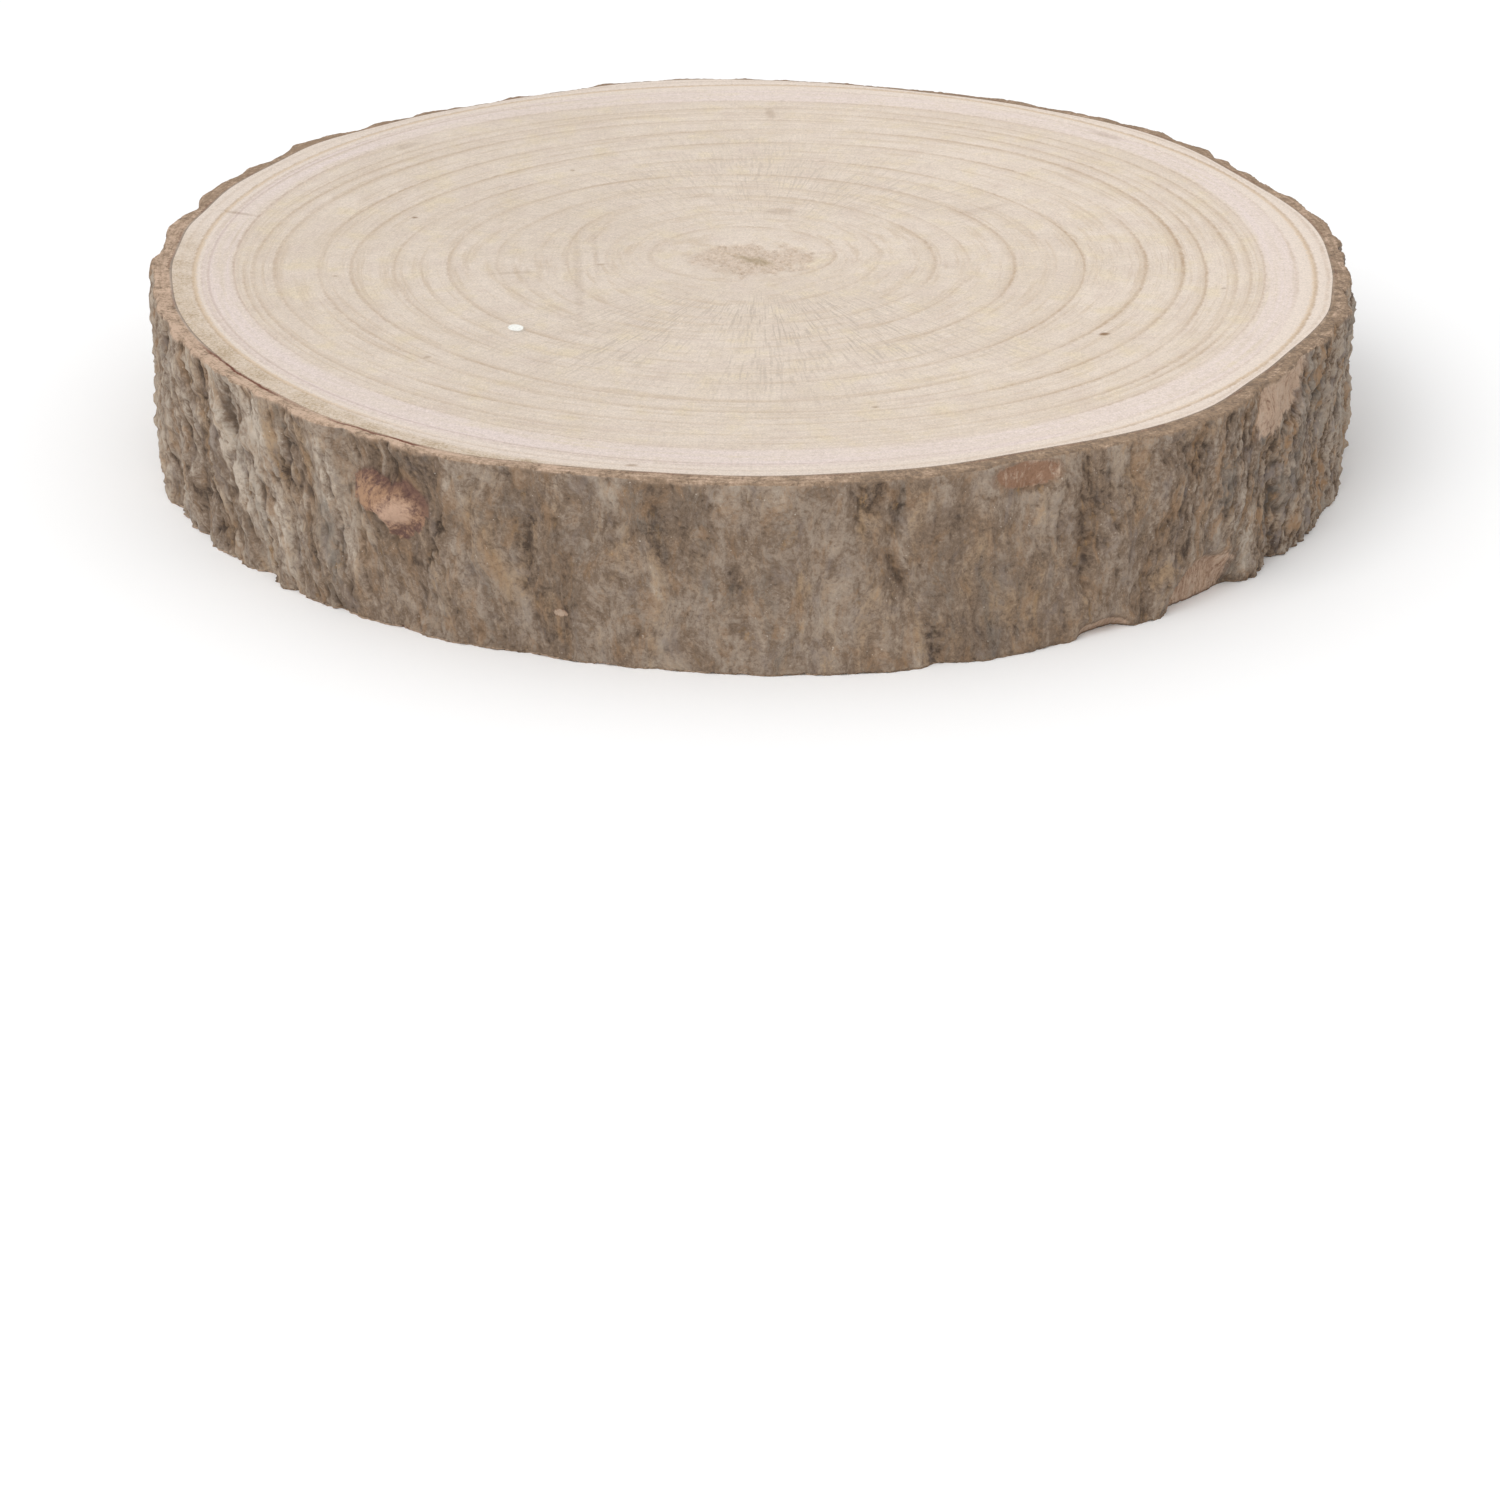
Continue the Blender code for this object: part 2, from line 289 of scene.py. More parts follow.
class Thread:
    """One output in a finish's nodes. Sums on it add Math nodes, and node() adds any other."""

    def __init__(self, tree, socket):
        self.tree = tree
        self.socket = socket

    def node(self, kind, settings, sockets, out=0):
        """A node with its settings made first, then its sockets set or linked."""
        made = self.tree.nodes.new(kind)
        for name, value in settings.items():
            setattr(made, name, value)
        for name, value in sockets.items():
            if isinstance(value, Thread):
                self.tree.links.new(value.socket, made.inputs[name])
            else:
                made.inputs[name].default_value = value
        return Thread(self.tree, made.outputs[out])

    def sum(self, operation, *values):
        return self.node("ShaderNodeMath", {"operation": operation}, dict(enumerate(values)))

    def __add__(self, other):
        return self.sum("ADD", self, other)

    def __radd__(self, other):
        return self.sum("ADD", other, self)

    def __sub__(self, other):
        return self.sum("SUBTRACT", self, other)

    def __rsub__(self, other):
        return self.sum("SUBTRACT", other, self)

    def __mul__(self, other):
        return self.sum("MULTIPLY", self, other)

    def __rmul__(self, other):
        return self.sum("MULTIPLY", other, self)

    def size(self):
        return self.sum("ABSOLUTE", self)

    def nearest(self):
        return self.sum("ROUND", self)

    def rise(self, low, high):
        """0 below low and 1 above high, eased between them; falling where high is below low."""
        return self.node("ShaderNodeMapRange", {"interpolation_type": "SMOOTHSTEP"},
                         {"Value": self, "From Min": low, "From Max": high})

    def between(self, none, full):
        """The colour none where this is 0, and the colour full where it is 1."""
        return self.node("ShaderNodeMix", {"data_type": "RGBA"}, {0: self, 6: none, 7: full}, out=2)

    def lit(self, amount):
        """This colour made lighter or darker: 1 leaves it as it is."""
        return self.node("ShaderNodeVectorMath", {"operation": "SCALE"}, {0: self, "Scale": amount})

    def stretched(self, x, y, z):
        return self.node("ShaderNodeVectorMath", {"operation": "MULTIPLY"}, {0: self, 1: (x, y, z)})

    def moved(self, by):
        return self.node("ShaderNodeVectorMath", {"operation": "ADD"}, {0: self, 1: by})

    def towards(self, turn):
        """How far this place lies in one direction over a cut, given in degrees from +X."""
        way = (math.cos(math.radians(turn)), math.sin(math.radians(turn)), 0)
        return self.node("ShaderNodeVectorMath", {"operation": "DOT_PRODUCT"}, {0: self, 1: way},
                         out="Value")

    def flat(self):
        """This place with its height left out."""
        return self.stretched(1, 1, 0)

    def direction(self):
        """The way to this place from the pith, whatever the distance."""
        return self.node("ShaderNodeVectorMath", {"operation": "NORMALIZE"}, {0: self})

    def raised(self, rate):
        """A place as high as this number times a rate, for noise that changes with it."""
        return self.node("ShaderNodeCombineXYZ", {}, {"Z": self * rate})

    def bumped(self, strength, depth_mm):
        return self.node("ShaderNodeBump", {}, {
            "Strength": strength, "Distance": depth_mm * MM, "Height": self})

    def length(self):
        return self.node("ShaderNodeVectorMath", {"operation": "LENGTH"}, {0: self}, out="Value")

    def speckle(self, size_mm, detail=3.0, roughness=0.55, distortion=0.0):
        """Noise about 0 whose lumps are about this many mm across, where this is a place in mm."""
        return self.node("ShaderNodeTexNoise", {}, {
            "Vector": self, "Scale": 1 / size_mm, "Detail": detail, "Roughness": roughness,
            "Distortion": distortion}) - 0.5

    def note(self, name, out="Fac"):
        """A number, or with out as Vector a place, that the piece keeps at its points."""
        return self.node("ShaderNodeAttribute", {"attribute_name": name}, {}, out=out)

    def spot(self, x, y, half_long, half_wide, turn=0.0):
        """How far this place in mm is from a spot's middle: 1 at the spot's edge."""
        placed = self.node("ShaderNodeMapping", {"vector_type": "TEXTURE"}, {
            "Vector": self, "Location": (x, y, 0), "Rotation": (0, 0, math.radians(turn)),
            "Scale": (half_long, half_wide, 1000)})
        return placed.length()


def shade(red, green, blue):
    """A colour as a screen shows it, 0 to 255 each, as the linear colour that a finish takes."""
    parts = [part / 255 for part in (red, green, blue)]
    return (*[p / 12.92 if p <= 0.04045 else ((p + 0.055) / 1.055) ** 2.4 for p in parts], 1)


def new_finish(piece, name, roughness, specular):
    """A finish on a piece: its shader, and each point's place from the pith in mm."""
    finish = bpy.data.materials.new(name)
    finish.use_nodes = True
    tree = finish.node_tree
    shader = tree.nodes["Principled BSDF"]
    shader.inputs["Roughness"].default_value = roughness
    shader.inputs["Specular IOR Level"].default_value = specular
    piece.data.materials.append(finish)
    start = Thread(tree, None).node("ShaderNodeTexCoord", {}, {}, out="Object")
    return shader, start.moved((-pith[0], -pith[1], 0)).lit(1 / MM)


def feed(shader, **links):
    """Links threads to a shader's sockets, an underscore in a name standing for a space."""
    for name, thread in links.items():
        thread.tree.links.new(thread.socket, shader.inputs[name.replace("_", " ")])


PALE_WOOD = shade(216, 202, 188)
DULL_WOOD = shade(208, 193, 177)
YELLOWED_WOOD = shade(215, 199, 169)
GREYED_WOOD = shade(206, 190, 177)
RAY_GREY = shade(192, 178, 164)
LATE_WOOD = shade(196, 177, 155)
YEAR_LINE = shade(168, 141, 114)
PINK_WOOD = shade(217, 202, 195)
MAUVE_LINE = shade(184, 162, 152)
SAPWOOD = shade(219, 205, 193)
OCHRE_LINE = shade(198, 168, 124)
KHAKI_WOOD = shade(198, 180, 158)
KHAKI_SPECKLE = shade(166, 144, 117)
CRUST_PALE = shade(205, 187, 170)
CRUST_DARK = shade(180, 158, 136)
CRUST_SPECK = shade(138, 112, 88)
PITH_OLIVE = shade(150, 130, 96)
STAIN = shade(138, 110, 82)
FLECK = shade(238, 238, 232)
FLECK_SHADOW = shade(168, 158, 146)

shader, place = new_finish(wood, "sanded_end_grain", roughness=0.6, specular=0.25)

# Heartwood: rays from the pith to the bark, and faint bands that run with the years' lines.
sheet = place.flat()
direction = sheet.direction()
age = place.note("age")
broad = sheet.speckle(45, 2.0)
from_pith = sheet.length()
rays = direction.stretched(95, 95, 0).moved(from_pith.raised(0.12)).speckle(0.9, 2.0, 0.5)
ray_reach = from_pith.rise(18, 36) * from_pith.rise(110, 55) * (0.6 + broad).rise(0.3, 0.7)
to_front = direction.towards(-90).rise(0.5, 0.95)
to_back = direction.towards(90).rise(0.5, 0.95)
ray_reach = ray_reach * (0.35 + (0.65 * to_front + 0.3 * to_back))
growth = age.raised(4.6)
bands = direction.stretched(2.2, 2.2, 0).moved(growth).speckle(0.8, 4.0, 0.65)
hairlines = direction.stretched(1.3, 1.3, 0).moved(growth).speckle(0.35, 2.0, 0.6)
fine = sheet.speckle(0.45, 3.0, 0.75)
fibres = sheet.speckle(1.3, 4.0, 0.7)
cloudy = sheet.speckle(7, 4.0)
colour = (0.5 + broad + 1.2 * cloudy).rise(0.2, 0.8).between(PALE_WOOD, DULL_WOOD)
tinge = sheet.speckle(9, 4.0, 0.6)
colour = (tinge.rise(0.0, 0.2) * 0.5).between(colour, YELLOWED_WOOD)
colour = (tinge.rise(0.0, -0.2) * 0.7).between(colour, GREYED_WOOD)
colour = (rays.rise(0.0, 0.14) * ray_reach * 1.1).between(colour, RAY_GREY)
colour = (bands.rise(0.0, 0.2) * 0.6).between(colour, LATE_WOOD)

# Each year's growth darkens towards the line that ends it, and starts again pale outside it.
offset = (age - age.nearest()) * place.note("year_mm")
mark = place.note("mark")
wobble = offset + 0.7 * sheet.speckle(4.5, 4.0, 0.6) + 1.5 * fibres
halo = wobble.rise(-2.6, -0.2) * wobble.rise(1.1, 0.0) * mark
dashes = 0.35 + 0.75 * sheet.speckle(2.2, 4.0, 0.65).rise(-0.16, 0.12)
line = wobble.size().rise(0.62, 0.08) * mark * dashes
colour = (hairlines.size().rise(0.035, 0.005) * mark * 0.22).between(colour, YEAR_LINE)
colour = (halo * 0.5).between(colour, LATE_WOOD)
colour = (line * 0.5).between(colour, YEAR_LINE)

# The pink band and the sapwood outside it, speckled ochre along the left front.
pink = place.note("past_pink").rise(-1.6, 2.4) * place.note("past_band").rise(3.0, -1.0)
colour = (pink * (0.65 + 1.5 * fibres + 3 * bands)).between(colour, PINK_WOOD)
sapwood = place.note("past_band").rise(-0.5, 1.0)
colour = (sapwood * 0.75).between(colour, SAPWOOD)
inside_band = (place.note("past_band") + 1.3 + 0.8 * fibres).size().rise(0.5, 0.1)
mauve = (inside_band + line) * pink.rise(0.1, 0.6) * direction.towards(-160).rise(-0.6, 0.6)
colour = (mauve * 0.45).between(colour, MAUVE_LINE)
past_sapwood = place.note("past_sapwood")
stain_starts = past_sapwood - 2.6 * direction.towards(-100).rise(0.75, 1.0)
stained = direction.towards(-142).rise(0.62, 0.9) * stain_starts.rise(-1.5, 1.4)
grit = sheet.speckle(0.7, 3.0, 0.8) + 0.6 * cloudy
colour = (stained * (0.85 + 3 * grit)).between(colour, KHAKI_WOOD)
colour = (stained * grit.rise(0.0, 0.15) * 0.7).between(colour, KHAKI_SPECKLE)
ochre = (past_sapwood + 0.4 + 2 * fibres).size().rise(0.9, 0.1)
ochre = ochre * direction.towards(-90).rise(0.95, 0.6)
colour = (ochre * 0.4).between(colour, OCHRE_LINE)
colour = (line * sapwood * 0.6).between(colour, YEAR_LINE)

# Small marks: x and y from the pith in mm, half its length and width, turn, strength.
Mark = namedtuple("Mark", "x y half_long half_wide turn strength")
MARKS = [
    Mark(75.1, -48.9, 1.4, 1.1, 20, 1.0),
    Mark(4.5, 32, 4.2, 2.4, 0, 0.25),
    Mark(2.7, 106, 5.0, 1.4, 95, 0.3),
    Mark(52, 33.5, 9, 2.0, 35, 0.15),
    Mark(-86.3, 80.5, 4.6, 2.0, 47, 0.25),
    Mark(85.4, 88.5, 6.0, 1.6, -44, 0.3),
    Mark(-80.7, 27.8, 0.9, 0.8, 0, 0.8),
    Mark(-36.2, -4.4, 1.4, 0.8, 10, 0.4),
    Mark(-26.4, -124, 1.6, 0.9, 10, 0.5),
    Mark(-122.5, 31, 5.5, 1.0, -24, 0.35),
    Mark(-72, -63, 1.2, 0.8, 40, 0.4),
    Mark(-41, -14, 1.3, 30, 3, 0.17),
    Mark(-37.6, 2, 0.9, 20, 4, 0.14),
    Mark(-56, -10, 6.5, 1.2, 10, 0.2),
    Mark(-45, 62, 0.8, 0.8, 0, 0.5),
    Mark(24, -92, 0.9, 0.7, 0, 0.5),
    Mark(-96, -12, 0.8, 0.7, 0, 0.4),
    Mark(104, -20, 0.7, 0.7, 0, 0.4),
]
ragged = 0.9 * sheet.speckle(1.6, 4.0, 0.65)
under = place.note("underside")
upper = 1 - under
for item in MARKS:
    away = sheet.spot(item.x, item.y, item.half_long, item.half_wide, item.turn) + ragged
    colour = (away.rise(1.2, 0.3) * upper * item.strength).between(colour, STAIN)

# The crusty pith, with the olive streak of the soft core across it.
crusty = place.note("crust")
crumbs = sheet.speckle(1.5, 5.0, 0.7)
crust_colour = crumbs.rise(-0.16, 0.06).between(CRUST_DARK, CRUST_PALE)
specks = crumbs.rise(-0.06, -0.18) * (crusty - 0.55).size().rise(0.5, 0.2)
crust_colour = specks.between(crust_colour, CRUST_SPECK)
core = (sheet.spot(-1.4, -0.8, 6, 2.2, -38) + ragged).rise(1.2, 0.4)
crust_colour = (core * 0.7).between(crust_colour, PITH_OLIVE)
colour = (crusty * 0.8).between(colour, crust_colour)

# A chip of white paint or grit.
fleck_away = sheet.spot(-53.7, -44.9, 1.7, 2.2, 20) + 0.45 * ragged
shadow = sheet.spot(-53.1, -45.9, 1.9, 2.3, 0).rise(1.1, 0.7)
colour = (shadow * upper * 0.5).between(colour, FLECK_SHADOW)
colour = (fleck_away.rise(1.05, 0.85) * upper).between(colour, FLECK)
saw_lines = sheet.stretched(0.04, 1, 1).speckle(1.0, 3.0, 0.6) * under
# Painted light: the cut is made steadily lighter towards the right.
painted_light_right = 0.08 * sheet.towards(10).rise(-60, 80)
texture = 0.8 * fine + 0.4 * fibres
brightness = 0.93 + painted_light_right + texture - 0.05 * under
feed(shader, Base_Color=colour.lit(brightness + 0.2 * saw_lines))
relief = 0.4 * fine + 0.5 * fibres + 0.4 * rays + 3 * crusty * crumbs - 0.5 * line + 3 * saw_lines
feed(shader, Normal=relief.bumped(0.4, 0.15))

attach(wood, "root")
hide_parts("wood_slice")


# The bark
# Dead outer bark that grew with the wood and still clings to it: upright plates parted by
# furrows, weathered silver on their crests, with inner bark bare where a flake has come away.
# Its own sawn edge is the tan band outside the wood on both cuts.
BAND_ROWS = 7
UNDER_BAND_ROWS = 3
LEAST_BARK = 0.5 * MM
BARK_SINKS = 0.1 * MM
BARK_TUCKS_IN = 0.3 * MM
RIM_ROUNDING = 0.3
RIM_CALM = 2.5

# Rounds of averaging that leave what a fine groove is cut into, and what a deep hollow is.
GROOVE_ROUNDS = 20
HOLLOW_ROUNDS = 260

# Every 30 degrees from +X: how rough the bark is, how weathered (1 silvery, 0 brown, -1 dark),
# and how its grain leans, in mm anticlockwise for each mm down.
ROUGHNESS = [1.2, 0.9, 0.6, 0.35, 0.4, 0.7, 1.0, 1.0, 0.6, 0.35, 0.45, 0.9]
WEATHERING = [0.1, 0.3, 0.3, 0.0, 0.2, 0.4, 0.7, 0.9, 0.2, 0.0, -0.1, -0.1]
LEAN = [-0.2, -0.1, 0.0, 0.1, 0.0, 0.1, 0.25, 0.4, 0.1, 0.0, 0.0, -0.3]

# How much finer and greyer furrows break it up, every 30 degrees.
FINENESS = [1.0, 0.8, 0.4, 0.2, 0.3, 0.4, 0.3, 0.2, 0.1, 0.1, 0.1, 0.9]

# How far down the wall the saw's tan lip reaches, in mm every 30 degrees.
LIP = [0.5, 0.4, 0.3, 0.3, 0.4, 0.5, 0.7, 0.6, 0.2, 0.3, 0.3, 0.6]

# How pale that lip and the sawn edge are, every 30 degrees.
PALENESS = [0.25, 0.15, 0.1, 0.1, 0.05, 0.1, 0.5, 0.6, 0.55, 0.25, -0.05, 0.05]

# Cracks: from one angle and height in mm to another, half width and depth in mm.
Crack = namedtuple("Crack", "top_angle top foot_angle foot half_width depth")
CRACKS = [
    Crack(-163, 30, -160, 2, 0.9, 1.0),
    Crack(-153, 39, -150, 10, 1.3, 0.9),
    Crack(-148, 38, -141.5, 0, 1.5, 1.5),
    Crack(-138.2, 43, -137.5, 27, 0.8, 1.6),
    Crack(-139, 25, -135.5, 4, 1.1, 1.0),
    Crack(-132, 28, -129.5, 2, 1.1, 0.9),
    Crack(-125.4, 43, -124.2, 34, 0.7, 1.6),
    Crack(-119.5, 28, -122.4, 0, 0.5, 1.2),
    Crack(-111, 31, -110.3, 6, 0.6, 0.7),
    Crack(-98, 42, -96.5, 22, 0.6, 0.5),
    Crack(-82.5, 43, -80, 25, 0.8, 0.9),
    Crack(-79, 26, -74, 0, 0.8, 0.6),
    Crack(-60.2, 43, -59.8, 6, 1.0, 0.6),
    Crack(-41.4, 16, -41, 0, 0.8, 1.4),
    Crack(-25, 41, -35.3, 27.5, 0.8, 1.4),
    Crack(-35.3, 27.5, -34.8, 0, 0.8, 1.2),
    Crack(-19, 42, -23, 6, 0.9, 1.4),
    Crack(-9, 43, -13, 2, 0.9, 1.4),
]

# Where a flake of bark has come away: angle and height of its middle, its half sizes, its lean in
# degrees for each mm up, its depth in mm, and how pale the inner bark is there.
Flake = namedtuple("Flake", "angle height half_width half_height lean depth pale")
FLAKES = [
    Flake(-65.8, 39.2, 4.2, 3.4, 0, 0.6, 0.0),
    Flake(-32.6, 39.5, 6.0, 11, 0.4, 0.6, 0.8),
    Flake(-57.5, 0, 3.2, 3.6, 0, 0.5, 0.7),
    Flake(-46, 2, 5.2, 9.5, 0.25, 0.7, 0.6),
    Flake(-108, 10.8, 0.9, 1.0, 0, 0.3, 0.6),
    Flake(34, 0, 5.0, 9, 0, 0.6, 0.8),
    Flake(112, 43, 4.0, 8, 0, 0.6, 0.9),
    Flake(171, 0, 4.5, 7, 0, 0.6, 0.6),
]

# Stains and plates that stand out: hue, angle, height, half width in degrees, half height in
# mm, strength.
Stain = namedtuple("Stain", "hue angle height half_width half_height strength")
STAINS = [
    Stain("dark", -151.8, 38, 1.0, 6, 0.9),
    Stain("dark", -152.4, 21, 1.3, 15, 0.6),
    Stain("tan", -151.2, 22, 1.0, 10, 0.7),
    Stain("silver", -148.6, 30, 1.2, 15, 0.9),
    Stain("dark", -146.2, 35, 1.3, 7, 0.8),
    Stain("silver", -142.2, 36, 1.8, 7, 0.8),
    Stain("slate", -138.2, 38, 1.4, 5, 0.9),
    Stain("tan", -139.6, 33, 1.2, 6, 0.8),
    Stain("tan", -134.8, 36, 1.6, 6, 0.7),
    Stain("silver", -132.4, 33, 1.0, 10, 0.8),
    Stain("dark", -138.5, 27, 1.6, 3, 0.8),
    Stain("dark", -141.8, 22, 1.4, 4, 0.7),
    Stain("dark", -141.2, 10, 1.3, 10, 0.9),
    Stain("dark", -144.4, 10, 0.9, 4, 0.8),
    Stain("silver", -145.5, 18, 1.4, 12, 0.7),
    Stain("silver", -138, 12, 1.3, 11, 0.7),
    Stain("slate", -125.4, 40, 2.4, 3, 0.8),
    Stain("slate", -132, 15, 1.3, 8, 0.7),
    Stain("silver", -129, 12, 1.0, 8, 0.5),
    Stain("tan", -120, 11, 3.0, 8, 0.4),
    Stain("tan", -113.5, 21, 3.4, 11, 0.35),
    Stain("dark", -111.5, 24, 1.0, 9, 0.5),
    Stain("silver", -118, 35, 1.6, 5, 0.5),
    Stain("tan", -107.8, 34, 2.0, 7, 0.4),
    Stain("dark", -103.4, 27, 0.7, 12, 0.4),
    Stain("tan", -101.2, 23, 2.6, 6, 0.5),
    Stain("silver", -99, 19, 0.7, 8, 0.9),
    Stain("dark", -94.6, 34, 1.0, 7, 0.4),
    Stain("dark", -92, 15, 1.0, 8, 0.4),
    Stain("silver", -88.5, 39, 0.9, 3, 0.6),
    Stain("tan", -86.4, 18, 0.7, 7, 0.8),
    Stain("dark", -80.2, 39, 1.6, 4.5, 1.0),
    Stain("tan", -80.4, 32.5, 1.6, 3.5, 0.9),
    Stain("dark", -78.2, 33, 0.9, 6, 0.8),
    Stain("dark", -77.8, 22, 1.4, 6, 0.8),
    Stain("tan", -75.5, 10, 1.2, 6, 0.5),
    Stain("dark", -74.6, 4, 0.8, 6, 0.8),
    Stain("tan", -67.6, 12, 1.6, 7, 0.6),
    Stain("tan", -64.5, 19, 1.6, 5, 0.5),
    Stain("dark", -59.2, 28, 2.0, 13, 0.5),
    Stain("dark", -65.8, 36, 3.4, 0.9, 0.9),
    Stain("dark", -40.6, 33, 1.2, 5, 0.8),
    Stain("tan", -47, 40, 3.5, 2.5, 0.8),
    Stain("silver", -39.8, 10, 1.3, 9, 0.9),
    Stain("tan", -108, 15, 3.0, 10, 0.4),
    Stain("slate", -97, 18, 3, 7, 0.5),
    Stain("tan", -67, 13, 2.5, 8, 0.7),
    Stain("tan", -54.4, 30, 1.3, 12, 0.9),
    Stain("tan", -51, 11, 1.8, 5, 0.9),
    Stain("dark", -48, 36, 1.4, 5, 0.7),
    Stain("slate", -43, 24, 2.0, 7, 0.6),
    Stain("silver", -41, 17, 0.9, 12, 0.9),
    Stain("slate", -34.2, 13, 2.0, 9, 0.9),
    Stain("slate", -29.5, 30, 1.6, 10, 0.8),
    Stain("dark", -22, 22, 1.0, 12, 0.6),
    Stain("silver", -16, 20, 1.2, 14, 0.6),
]

# The healed stub of a branch: its middle, and how far its edge is from there in mm every 30
# degrees, from the anticlockwise side and on over the top.
STUB_ANGLE, STUB_HEIGHT = -124.2, 29.0
STUB_OUTLINE = [7.2, 5.9, 5.0, 4.5, 5.6, 10.6, 13.0, 4.0, 4.8, 8.2, 7.8, 8.0]

height_mm = np.broadcast_to(wall_heights[:, None] / MM, wall.shape)
below_rim = THICKNESS / MM - height_mm
around = np.broadcast_to(turns, wall.shape)
angle = np.broadcast_to(degrees, wall.shape)
stem_mm = wall.mean() / MM
rough = round_the_stem(ROUGHNESS, around)
weathering = round_the_stem(WEATHERING, around)
lean = round_the_stem(LEAN, around)
fineness = round_the_stem(FINENESS, around)


def on_bark(across, up, sway=0.0):
    """Each point of the bark as a place for noise, one unit every so many mm round and up."""
    turn = around + (sway - lean * below_rim) / stem_mm
    return np.stack([np.cos(turn) * stem_mm / across, np.sin(turn) * stem_mm / across,
                     height_mm / up], -1)


def turned_from(other):
    """The angle in degrees from a direction to each point of the bark, -180 to 180."""
    return (angle - other + 180) % 360 - 180


def crack_cut(crack, stray):
    """How deep a crack is at each point of the bark, in mm."""
    along = (crack.top - height_mm) / (crack.top - crack.foot)
    middle = crack.top_angle + (crack.foot_angle - crack.top_angle) * along
    past_end = np.maximum(0, np.maximum(crack.foot - height_mm, height_mm - crack.top))
    across = np.radians(turned_from(middle)) * stem_mm + stray
    return crack.depth * np.exp(-np.abs(across / crack.half_width) ** 1.5 - (past_end / 2) ** 2)


def flake_gone(flake, fray):
    """1 where a flake has come away, and 0 outside its frayed edge."""
    across = turned_from(flake.angle + flake.lean * (height_mm - flake.height)) / flake.half_width
    up = (height_mm - flake.height) / flake.half_height
    return eased((1 - np.hypot(across, up) + fray) * 2.5)


sway = 2.5 * grown_noise(on_bark(14, 18), 2, 4)
furrows = np.exp(-(grown_noise(on_bark(8, 30, sway), 3, 5) / 0.11) ** 2)
plates = grown_noise(on_bark(6, 15, sway), 3, 10)
fine_furrows = np.exp(-(grown_noise(on_bark(3.2, 20, sway), 3, 11) / 0.1) ** 2)
fibres = grown_noise(on_bark(1.8, 4.2, sway), 3, 6)
flaking = grown_noise(on_bark(2.4, 2.9, sway), 4, 7)
crumble = grown_noise(on_bark(1.0, 1.3), 3, 8)
relief_mm = rough * (0.65 * plates - 0.8 * furrows + 0.35 * fibres + 0.75 * flaking)
relief_mm = relief_mm + (0.24 + 0.14 * rough) * crumble - 0.55 * fineness * fine_furrows

bare = np.zeros(wall.shape)
pale = np.zeros(wall.shape)
for flake in FLAKES:
    gone = flake_gone(flake, 0.12 * flaking + 0.05 * crumble)
    relief_mm = relief_mm * (1 - 0.6 * gone) - flake.depth * gone
    bare = np.maximum(bare, gone)
    pale = np.where(gone > 0, flake.pale, pale)
stray = 1.5 * flaking + 0.7 * crumble
broken = np.clip(0.65 + 1.1 * plates + 0.6 * flaking, 0.1, 1.2)
relief_mm = relief_mm - broken * np.max([crack_cut(crack, stray) for crack in CRACKS], axis=0)

stub_across = np.radians(turned_from(STUB_ANGLE)) * stem_mm
stub_up = height_mm - STUB_HEIGHT
stub_edge = round_the_stem(STUB_OUTLINE, np.arctan2(stub_up, stub_across))
stub_within = stub_edge - np.hypot(stub_across, stub_up) + 1.2 * flaking + 0.6 * crumble
stub = eased(0.3 + stub_within / 1.6)
stub_over = eased(0.5 + (stub_up + 0.4 * stub_across) / 8)
stub_lip = np.exp(-((stub_within - 0.9) / 1.1) ** 2) * stub_over
stub_heart = np.exp(-((stub_across - 0.3 * stub_up - 1.0) / 5) ** 2 - ((stub_up + 1.9) / 4) ** 2)
stub_left = np.exp(-((stub_across + 7.8) / 3.5) ** 2 - ((stub_up - 0.6) / 2.8) ** 2)
relief_mm = relief_mm * (1 - 0.35 * stub) - 0.8 * stub_lip + 0.8 * stub_heart * stub

tints = {stain.hue: np.zeros(wall.shape) for stain in STAINS}
for stain in STAINS:
    leaning = lean * (stain.height - height_mm) / stem_mm
    across = (turned_from(stain.angle) - np.degrees(leaning)) / stain.half_width
    up = (height_mm - stain.height) / stain.half_height
    away = np.hypot(across, up) + 0.6 * flaking + 0.5 * fibres + 0.3 * crumble
    tint = stain.strength * eased((1.2 - away) * 1.3)
    tints[stain.hue] = np.maximum(tints[stain.hue], tint)
relief_mm = relief_mm + 0.35 * tints["silver"] - 0.45 * tints["dark"]

calm = 0.3 + 0.7 * eased(below_rim / RIM_CALM)
bark_wall = wall + relief_mm * calm * MM
bark_wall[0] -= RIM_ROUNDING * MM
bark_wall = np.maximum(bark_wall, wood_edge + LEAST_BARK)
groove = np.clip((relief_mm - softened(relief_mm, GROOVE_ROUNDS)) / 0.6, -1, 1)
deep = np.clip((relief_mm - softened(relief_mm, HOLLOW_ROUNDS)) / 1.2, -1, 1)


def band(rows, wall_radius, level, sink, crumbs):
    """The bark's sawn edge on one cut, as rings from the wood's edge out to the wall."""
    shares = np.linspace(0, 1, rows, endpoint=False)[:, None]
    inner = wood_edge - BARK_TUCKS_IN
    radius = inner + (wall_radius - inner) * shares
    height = level - sink * (1 - 0.7 * shares) - sink * crumbs * shares
    return radius, np.broadcast_to(height, radius.shape)


